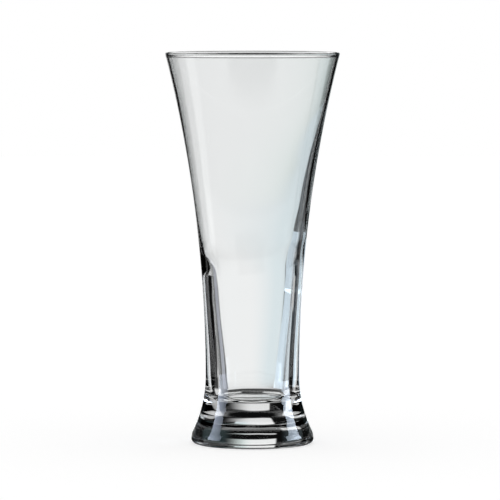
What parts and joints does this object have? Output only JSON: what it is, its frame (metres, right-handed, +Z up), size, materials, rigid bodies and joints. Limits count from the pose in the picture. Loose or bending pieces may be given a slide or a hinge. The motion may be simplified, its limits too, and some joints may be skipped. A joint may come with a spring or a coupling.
{
  "type": "pilsner glass",
  "caption": "Tall clear drinking glass for beer: a thin flared bowl on a thick-walled shank, a heavy flared foot with a shallow hollow underneath, and a rounded fire-polished rim.",
  "frame": {"origin": "on the table plane, at the centre of the ring that the foot rests on", "axes": "+Z up along the axis of the glass; the glass is round, so X and Y are free"},
  "size_m": [0.0802, 0.0802, 0.18],
  "materials": {
    "clear_glass": "fire-polished clear soda-lime glass"
  },
  "bodies": {
    "root": {"foot": "clear_glass", "shank": "clear_glass", "bowl": "clear_glass", "rim": "clear_glass"}
  },
  "joints": []
}
